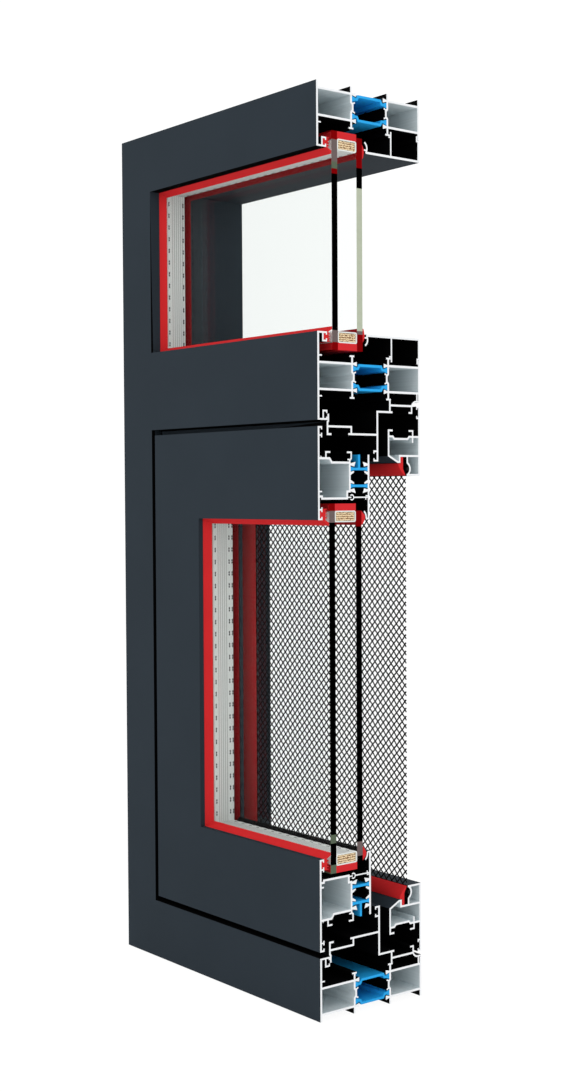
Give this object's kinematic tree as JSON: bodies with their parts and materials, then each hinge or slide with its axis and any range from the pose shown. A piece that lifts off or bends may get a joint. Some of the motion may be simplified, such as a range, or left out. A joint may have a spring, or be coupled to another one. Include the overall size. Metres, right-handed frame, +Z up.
{
  "type": "aluminium window section sample",
  "caption": "Cut corner sample of a thermally broken aluminium window: fixed glazed light over an outward glazed sash with an insect screen behind it, profiles open at one end.",
  "frame": {"origin": "middle of the base of the sample, on the surface that the sill fins stand on", "axes": "+X across the window towards the cut end, +Y from the street side to the room side, +Z up"},
  "size_m": [0.284, 0.11, 0.748],
  "materials": {
    "coated_aluminium": "satin",
    "break_polyamide": "matte",
    "gasket_rubber": "matte",
    "edge_sealant": "matte",
    "glass": "gloss",
    "spacer_aluminium": "satin",
    "drying_grains": "matte",
    "spline_rubber": "matte",
    "mesh_steel": "satin",
    "hinge_steel": "satin"
  },
  "bodies": {
    "root": {"fixed_bead_head": "coated_aluminium", "fixed_bead_jamb": "coated_aluminium", "fixed_bead_transom": "coated_aluminium", "fixed_desiccant": "drying_grains", "fixed_edge_seal": "edge_sealant", "fixed_gasket_inner": "gasket_rubber", "fixed_gasket_outer": "gasket_rubber", "fixed_pane_inner": "glass", "fixed_pane_outer": "glass", "fixed_spacer": "spacer_aluminium", "frame_break_strips": "break_polyamide", "frame_head_inner": "coated_aluminium", "frame_head_outer": "coated_aluminium", "frame_jamb_inner": "coated_aluminium", "frame_jamb_outer": "coated_aluminium", "frame_sill_inner": "coated_aluminium", "frame_sill_outer": "coated_aluminium", "sash_bottom_inner": "coated_aluminium", "sash_bottom_outer": "coated_aluminium", "sash_break_strips": "break_polyamide", "sash_clip_cover": "coated_aluminium", "sash_desiccant": "drying_grains", "sash_edge_seal": "edge_sealant", "sash_gasket_inner": "gasket_rubber", "sash_gasket_outer": "gasket_rubber", "sash_hinges": "hinge_steel", "sash_pane_inner": "glass", "sash_pane_outer": "glass", "sash_spacer": "spacer_aluminium", "sash_stile_inner": "coated_aluminium", "sash_stile_outer": "coated_aluminium", "sash_top_inner": "coated_aluminium", "sash_top_outer": "coated_aluminium", "screen_bottom_rail": "coated_aluminium", "screen_gasket": "gasket_rubber", "screen_hinges": "hinge_steel", "screen_mesh": "mesh_steel", "screen_spline": "spline_rubber", "screen_stile_rail": "coated_aluminium", "screen_top_rail": "coated_aluminium", "stop_head": "coated_aluminium", "stop_jamb": "coated_aluminium", "stop_sill": "coated_aluminium", "transom_break_strips": "break_polyamide", "transom_inner": "coated_aluminium", "transom_outer": "coated_aluminium"}
  },
  "joints": []
}
